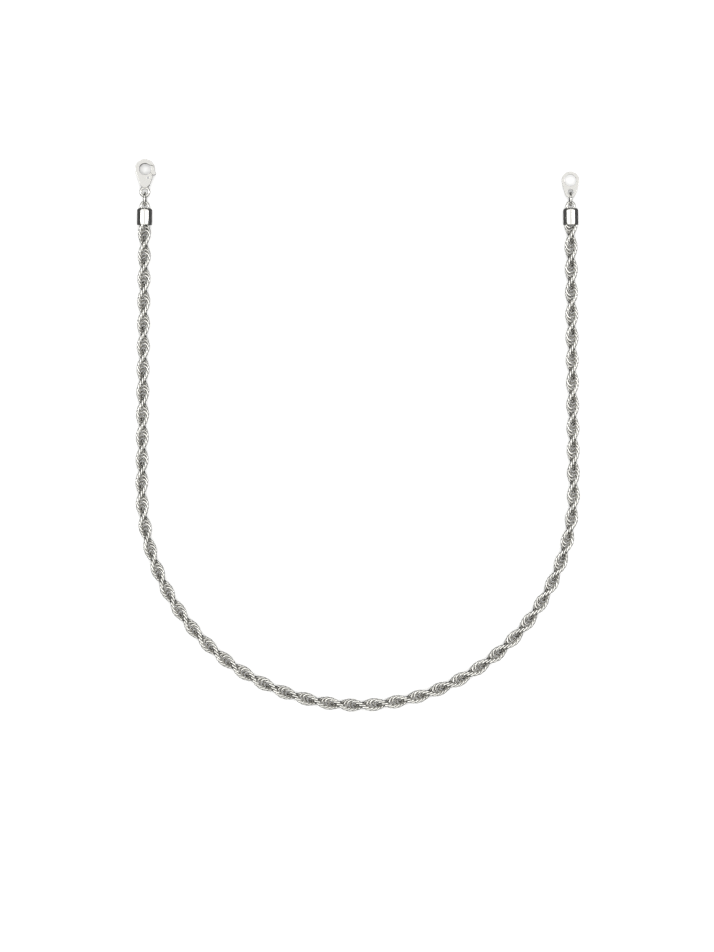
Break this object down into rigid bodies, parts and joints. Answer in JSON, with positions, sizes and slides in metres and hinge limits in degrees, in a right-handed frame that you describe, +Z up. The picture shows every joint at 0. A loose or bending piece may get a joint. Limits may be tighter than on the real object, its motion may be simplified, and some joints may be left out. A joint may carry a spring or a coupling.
{
  "type": "chain necklace",
  "caption": "Silver rope chain necklace, a right-hand twist of open round links, laid open in a U, with end caps, jump rings, a sprung hook and a catch plate.",
  "frame": {"origin": "on the surface that the necklace lies on, under the middle of its outline", "axes": "+Y from the curve of the rope towards the hook and catch, +Z up from the surface, +X towards the catch"},
  "size_m": [0.1375, 0.1707, 0.0046],
  "materials": {
    "rope_silver": "polished sterling silver wire",
    "cap_silver": "polished sterling silver, turned",
    "ring_silver": "polished sterling silver wire",
    "hook_silver": "polished cast sterling silver",
    "lever_silver": "polished cast sterling silver",
    "pin_steel": "ground steel",
    "spring_steel": "drawn spring steel",
    "catch_silver": "polished sterling silver sheet"
  },
  "bodies": {
    "rope_left_25": {"rope_left_25": "rope_silver", "end_cap_left": "cap_silver"},
    "rope_left_24": {"rope_left_24": "rope_silver"},
    "rope_left_23": {"rope_left_23": "rope_silver"},
    "rope_left_22": {"rope_left_22": "rope_silver"},
    "rope_left_21": {"rope_left_21": "rope_silver"},
    "rope_left_20": {"rope_left_20": "rope_silver"},
    "rope_left_19": {"rope_left_19": "rope_silver"},
    "rope_left_18": {"rope_left_18": "rope_silver"},
    "rope_left_17": {"rope_left_17": "rope_silver"},
    "rope_left_16": {"rope_left_16": "rope_silver"},
    "rope_left_15": {"rope_left_15": "rope_silver"},
    "rope_left_14": {"rope_left_14": "rope_silver"},
    "rope_left_13": {"rope_left_13": "rope_silver"},
    "rope_left_12": {"rope_left_12": "rope_silver"},
    "rope_left_11": {"rope_left_11": "rope_silver"},
    "rope_left_10": {"rope_left_10": "rope_silver"},
    "rope_left_09": {"rope_left_09": "rope_silver"},
    "rope_left_08": {"rope_left_08": "rope_silver"},
    "rope_left_07": {"rope_left_07": "rope_silver"},
    "rope_left_06": {"rope_left_06": "rope_silver"},
    "rope_left_05": {"rope_left_05": "rope_silver"},
    "rope_left_04": {"rope_left_04": "rope_silver"},
    "rope_left_03": {"rope_left_03": "rope_silver"},
    "rope_left_02": {"rope_left_02": "rope_silver"},
    "rope_left_01": {"rope_left_01": "rope_silver"},
    "rope_middle": {"rope_middle": "rope_silver"},
    "rope_right_01": {"rope_right_01": "rope_silver"},
    "rope_right_02": {"rope_right_02": "rope_silver"},
    "rope_right_03": {"rope_right_03": "rope_silver"},
    "rope_right_04": {"rope_right_04": "rope_silver"},
    "rope_right_05": {"rope_right_05": "rope_silver"},
    "rope_right_06": {"rope_right_06": "rope_silver"},
    "rope_right_07": {"rope_right_07": "rope_silver"},
    "rope_right_08": {"rope_right_08": "rope_silver"},
    "rope_right_09": {"rope_right_09": "rope_silver"},
    "rope_right_10": {"rope_right_10": "rope_silver"},
    "rope_right_11": {"rope_right_11": "rope_silver"},
    "rope_right_12": {"rope_right_12": "rope_silver"},
    "rope_right_13": {"rope_right_13": "rope_silver"},
    "rope_right_14": {"rope_right_14": "rope_silver"},
    "rope_right_15": {"rope_right_15": "rope_silver"},
    "rope_right_16": {"rope_right_16": "rope_silver"},
    "rope_right_17": {"rope_right_17": "rope_silver"},
    "rope_right_18": {"rope_right_18": "rope_silver"},
    "rope_right_19": {"rope_right_19": "rope_silver"},
    "rope_right_20": {"rope_right_20": "rope_silver"},
    "rope_right_21": {"rope_right_21": "rope_silver"},
    "rope_right_22": {"rope_right_22": "rope_silver"},
    "rope_right_23": {"rope_right_23": "rope_silver"},
    "rope_right_24": {"rope_right_24": "rope_silver"},
    "rope_right_25": {"rope_right_25": "rope_silver", "end_cap_right": "cap_silver"},
    "jump_ring_left": {"jump_ring_left": "ring_silver"},
    "jump_ring_right": {"jump_ring_right": "ring_silver"},
    "hook": {"hook_body": "hook_silver", "hook_pin": "pin_steel", "hook_spring": "spring_steel"},
    "hook_lever": {"hook_lever": "lever_silver"},
    "catch_plate": {"catch_plate": "catch_silver"}
  },
  "joints": [
    {"name": "bend_left_01", "type": "hinge", "parent": "rope_middle", "child": "rope_left_01", "pos_m": [-0.004, -0.08328, 0.0023], "axis": [0, 0, 1], "range_deg": [-10, 10]},
    {"name": "bend_left_02", "type": "hinge", "parent": "rope_left_01", "child": "rope_left_02", "pos_m": [-0.01095, -0.0825, 0.0023], "axis": [0, 0, 1], "range_deg": [-10, 10]},
    {"name": "lift_left_03", "type": "hinge", "parent": "rope_left_02", "child": "rope_left_03", "pos_m": [-0.01778, -0.08099, 0.0023], "axis": [0.2662, 0.9639, 0], "range_deg": [-10, 10]},
    {"name": "lift_left_04", "type": "hinge", "parent": "rope_left_03", "child": "rope_left_04", "pos_m": [-0.02442, -0.07878, 0.0023], "axis": [-0.3656, -0.9308, 0], "range_deg": [-10, 10]},
    {"name": "bend_left_05", "type": "hinge", "parent": "rope_left_04", "child": "rope_left_05", "pos_m": [-0.03079, -0.07588, 0.0023], "axis": [0, 0, 1], "range_deg": [-10, 10]},
    {"name": "bend_left_06", "type": "hinge", "parent": "rope_left_05", "child": "rope_left_06", "pos_m": [-0.03682, -0.07234, 0.0023], "axis": [0, 0, -1], "range_deg": [-10, 10]},
    {"name": "lift_left_07", "type": "hinge", "parent": "rope_left_06", "child": "rope_left_07", "pos_m": [-0.04245, -0.06818, 0.0023], "axis": [-0.6355, -0.7721, 0], "range_deg": [-10, 10]},
    {"name": "lift_left_08", "type": "hinge", "parent": "rope_left_07", "child": "rope_left_08", "pos_m": [-0.04761, -0.06346, 0.0023], "axis": [0.7128, 0.7014, 0], "range_deg": [-10, 10]},
    {"name": "bend_left_09", "type": "hinge", "parent": "rope_left_08", "child": "rope_left_09", "pos_m": [-0.05225, -0.05822, 0.0023], "axis": [0, 0, -1], "range_deg": [-10, 10]},
    {"name": "bend_left_10", "type": "hinge", "parent": "rope_left_09", "child": "rope_left_10", "pos_m": [-0.05632, -0.05253, 0.0023], "axis": [0, 0, -1], "range_deg": [-10, 10]},
    {"name": "lift_left_11", "type": "hinge", "parent": "rope_left_10", "child": "rope_left_11", "pos_m": [-0.05977, -0.04644, 0.0023], "axis": [0.8947, 0.4466, 0], "range_deg": [-10, 10]},
    {"name": "lift_left_12", "type": "hinge", "parent": "rope_left_11", "child": "rope_left_12", "pos_m": [-0.06256, -0.04002, 0.0023], "axis": [-0.9365, -0.3506, 0], "range_deg": [-10, 10]},
    {"name": "bend_left_13", "type": "hinge", "parent": "rope_left_12", "child": "rope_left_13", "pos_m": [-0.06467, -0.03335, 0.0023], "axis": [0, 0, -1], "range_deg": [-10, 10]},
    {"name": "bend_left_14", "type": "hinge", "parent": "rope_left_13", "child": "rope_left_14", "pos_m": [-0.06606, -0.0265, 0.0023], "axis": [0, 0, -1], "range_deg": [-10, 10]},
    {"name": "lift_left_15", "type": "hinge", "parent": "rope_left_14", "child": "rope_left_15", "pos_m": [-0.06674, -0.01953, 0.0023], "axis": [-0.999, -0.0438, 0], "range_deg": [-10, 10]},
    {"name": "lift_left_16", "type": "hinge", "parent": "rope_left_15", "child": "rope_left_16", "pos_m": [-0.06676, -0.01253, 0.0023], "axis": [0.9999, -0.0105, 0], "range_deg": [-10, 10]},
    {"name": "bend_left_17", "type": "hinge", "parent": "rope_left_16", "child": "rope_left_17", "pos_m": [-0.06669, -0.00553, 0.0023], "axis": [0, 0, -1], "range_deg": [-10, 10]},
    {"name": "bend_left_18", "type": "hinge", "parent": "rope_left_17", "child": "rope_left_18", "pos_m": [-0.06661, 0.00147, 0.0023], "axis": [0, 0, 1], "range_deg": [-10, 10]},
    {"name": "lift_left_19", "type": "hinge", "parent": "rope_left_18", "child": "rope_left_19", "pos_m": [-0.06654, 0.00847, 0.0023], "axis": [0.9999, -0.0105, 0], "range_deg": [-10, 10]},
    {"name": "lift_left_20", "type": "hinge", "parent": "rope_left_19", "child": "rope_left_20", "pos_m": [-0.06647, 0.01547, 0.0023], "axis": [-0.9999, 0.0105, 0], "range_deg": [-10, 10]},
    {"name": "bend_left_21", "type": "hinge", "parent": "rope_left_20", "child": "rope_left_21", "pos_m": [-0.06639, 0.02247, 0.0023], "axis": [0, 0, 1], "range_deg": [-10, 10]},
    {"name": "bend_left_22", "type": "hinge", "parent": "rope_left_21", "child": "rope_left_22", "pos_m": [-0.06632, 0.02947, 0.0023], "axis": [0, 0, 1], "range_deg": [-10, 10]},
    {"name": "lift_left_23", "type": "hinge", "parent": "rope_left_22", "child": "rope_left_23", "pos_m": [-0.06625, 0.03647, 0.0023], "axis": [-0.9999, 0.0105, 0], "range_deg": [-10, 10]},
    {"name": "lift_left_24", "type": "hinge", "parent": "rope_left_23", "child": "rope_left_24", "pos_m": [-0.06617, 0.04346, 0.0023], "axis": [0.9999, -0.0105, 0], "range_deg": [-10, 10]},
    {"name": "bend_left_25", "type": "hinge", "parent": "rope_left_24", "child": "rope_left_25", "pos_m": [-0.0661, 0.05046, 0.0023], "axis": [0, 0, 1], "range_deg": [-10, 10]},
    {"name": "bend_right_01", "type": "hinge", "parent": "rope_middle", "child": "rope_right_01", "pos_m": [0.003, -0.08334, 0.0023], "axis": [0, 0, -1], "range_deg": [-10, 10]},
    {"name": "bend_right_02", "type": "hinge", "parent": "rope_right_01", "child": "rope_right_02", "pos_m": [0.00996, -0.08266, 0.0023], "axis": [0, 0, -1], "range_deg": [-10, 10]},
    {"name": "lift_right_03", "type": "hinge", "parent": "rope_right_02", "child": "rope_right_03", "pos_m": [0.01682, -0.08125, 0.0023], "axis": [0.2518, -0.9678, 0], "range_deg": [-10, 10]},
    {"name": "lift_right_04", "type": "hinge", "parent": "rope_right_03", "child": "rope_right_04", "pos_m": [0.02349, -0.07914, 0.0023], "axis": [-0.3516, 0.9361, 0], "range_deg": [-10, 10]},
    {"name": "bend_right_05", "type": "hinge", "parent": "rope_right_04", "child": "rope_right_05", "pos_m": [0.0299, -0.07634, 0.0023], "axis": [0, 0, -1], "range_deg": [-10, 10]},
    {"name": "bend_right_06", "type": "hinge", "parent": "rope_right_05", "child": "rope_right_06", "pos_m": [0.03598, -0.07288, 0.0023], "axis": [0, 0, 1], "range_deg": [-10, 10]},
    {"name": "lift_right_07", "type": "hinge", "parent": "rope_right_06", "child": "rope_right_07", "pos_m": [0.04167, -0.06881, 0.0023], "axis": [-0.6238, 0.7815, 0], "range_deg": [-10, 10]},
    {"name": "lift_right_08", "type": "hinge", "parent": "rope_right_07", "child": "rope_right_08", "pos_m": [0.04691, -0.06416, 0.0023], "axis": [0.7022, -0.712, 0], "range_deg": [-10, 10]},
    {"name": "bend_right_09", "type": "hinge", "parent": "rope_right_08", "child": "rope_right_09", "pos_m": [0.05162, -0.059, 0.0023], "axis": [0, 0, 1], "range_deg": [-10, 10]},
    {"name": "bend_right_10", "type": "hinge", "parent": "rope_right_09", "child": "rope_right_10", "pos_m": [0.05577, -0.05337, 0.0023], "axis": [0, 0, 1], "range_deg": [-10, 10]},
    {"name": "lift_right_11", "type": "hinge", "parent": "rope_right_10", "child": "rope_right_11", "pos_m": [0.05931, -0.04733, 0.0023], "axis": [0.8879, -0.46, 0], "range_deg": [-10, 10]},
    {"name": "lift_right_12", "type": "hinge", "parent": "rope_right_11", "child": "rope_right_12", "pos_m": [0.0622, -0.04096, 0.0023], "axis": [-0.9312, 0.3646, 0], "range_deg": [-10, 10]},
    {"name": "bend_right_13", "type": "hinge", "parent": "rope_right_12", "child": "rope_right_13", "pos_m": [0.06441, -0.03432, 0.0023], "axis": [0, 0, 1], "range_deg": [-10, 10]},
    {"name": "bend_right_14", "type": "hinge", "parent": "rope_right_13", "child": "rope_right_14", "pos_m": [0.06591, -0.02748, 0.0023], "axis": [0, 0, 1], "range_deg": [-10, 10]},
    {"name": "lift_right_15", "type": "hinge", "parent": "rope_right_14", "child": "rope_right_15", "pos_m": [0.06668, -0.02053, 0.0023], "axis": [-0.9983, 0.0588, 0], "range_deg": [-10, 10]},
    {"name": "lift_right_16", "type": "hinge", "parent": "rope_right_15", "child": "rope_right_16", "pos_m": [0.06677, -0.01353, 0.0023], "axis": [0.9999, 0.0105, 0], "range_deg": [-10, 10]},
    {"name": "bend_right_17", "type": "hinge", "parent": "rope_right_16", "child": "rope_right_17", "pos_m": [0.0667, -0.00653, 0.0023], "axis": [0, 0, 1], "range_deg": [-10, 10]},
    {"name": "bend_right_18", "type": "hinge", "parent": "rope_right_17", "child": "rope_right_18", "pos_m": [0.06662, 0.00047, 0.0023], "axis": [0, 0, -1], "range_deg": [-10, 10]},
    {"name": "lift_right_19", "type": "hinge", "parent": "rope_right_18", "child": "rope_right_19", "pos_m": [0.06655, 0.00747, 0.0023], "axis": [0.9999, 0.0105, 0], "range_deg": [-10, 10]},
    {"name": "lift_right_20", "type": "hinge", "parent": "rope_right_19", "child": "rope_right_20", "pos_m": [0.06648, 0.01447, 0.0023], "axis": [-0.9999, -0.0105, 0], "range_deg": [-10, 10]},
    {"name": "bend_right_21", "type": "hinge", "parent": "rope_right_20", "child": "rope_right_21", "pos_m": [0.06641, 0.02147, 0.0023], "axis": [0, 0, -1], "range_deg": [-10, 10]},
    {"name": "bend_right_22", "type": "hinge", "parent": "rope_right_21", "child": "rope_right_22", "pos_m": [0.06633, 0.02847, 0.0023], "axis": [0, 0, -1], "range_deg": [-10, 10]},
    {"name": "lift_right_23", "type": "hinge", "parent": "rope_right_22", "child": "rope_right_23", "pos_m": [0.06626, 0.03547, 0.0023], "axis": [-0.9999, -0.0105, 0], "range_deg": [-10, 10]},
    {"name": "lift_right_24", "type": "hinge", "parent": "rope_right_23", "child": "rope_right_24", "pos_m": [0.06619, 0.04247, 0.0023], "axis": [0.9999, 0.0105, 0], "range_deg": [-10, 10]},
    {"name": "bend_right_25", "type": "hinge", "parent": "rope_right_24", "child": "rope_right_25", "pos_m": [0.06611, 0.04946, 0.0023], "axis": [0, 0, -1], "range_deg": [-10, 10]},
    {"name": "jump_ring_left_tilt", "type": "hinge", "parent": "rope_left_25", "child": "jump_ring_left", "pos_m": [-0.06587, 0.07221, 0.0023], "axis": [0.9999, -0.0105, 0], "range_deg": [-45, 45]},
    {"name": "jump_ring_right_tilt", "type": "hinge", "parent": "rope_right_25", "child": "jump_ring_right", "pos_m": [0.06587, 0.07221, 0.0023], "axis": [0.9999, 0.0105, 0], "range_deg": [-45, 45]},
    {"name": "hook_swing", "type": "hinge", "parent": "jump_ring_left", "child": "hook", "pos_m": [-0.06584, 0.07498, 0.0023], "axis": [0, 0, 1], "range_deg": [-50, 50]},
    {"name": "catch_swing", "type": "hinge", "parent": "jump_ring_right", "child": "catch_plate", "pos_m": [0.06584, 0.07498, 0.0023], "axis": [0, 0, 1], "range_deg": [-50, 50]},
    {"name": "lever_open", "type": "hinge", "parent": "hook", "child": "hook_lever", "pos_m": [-0.0648, 0.07969, 0.0023], "axis": [0, 0, 1], "range_deg": [0, 28], "stiffness_Nm_per_rad": 0.003, "springref_deg": -20.05, "deforming": ["hook_spring"]}
  ]
}
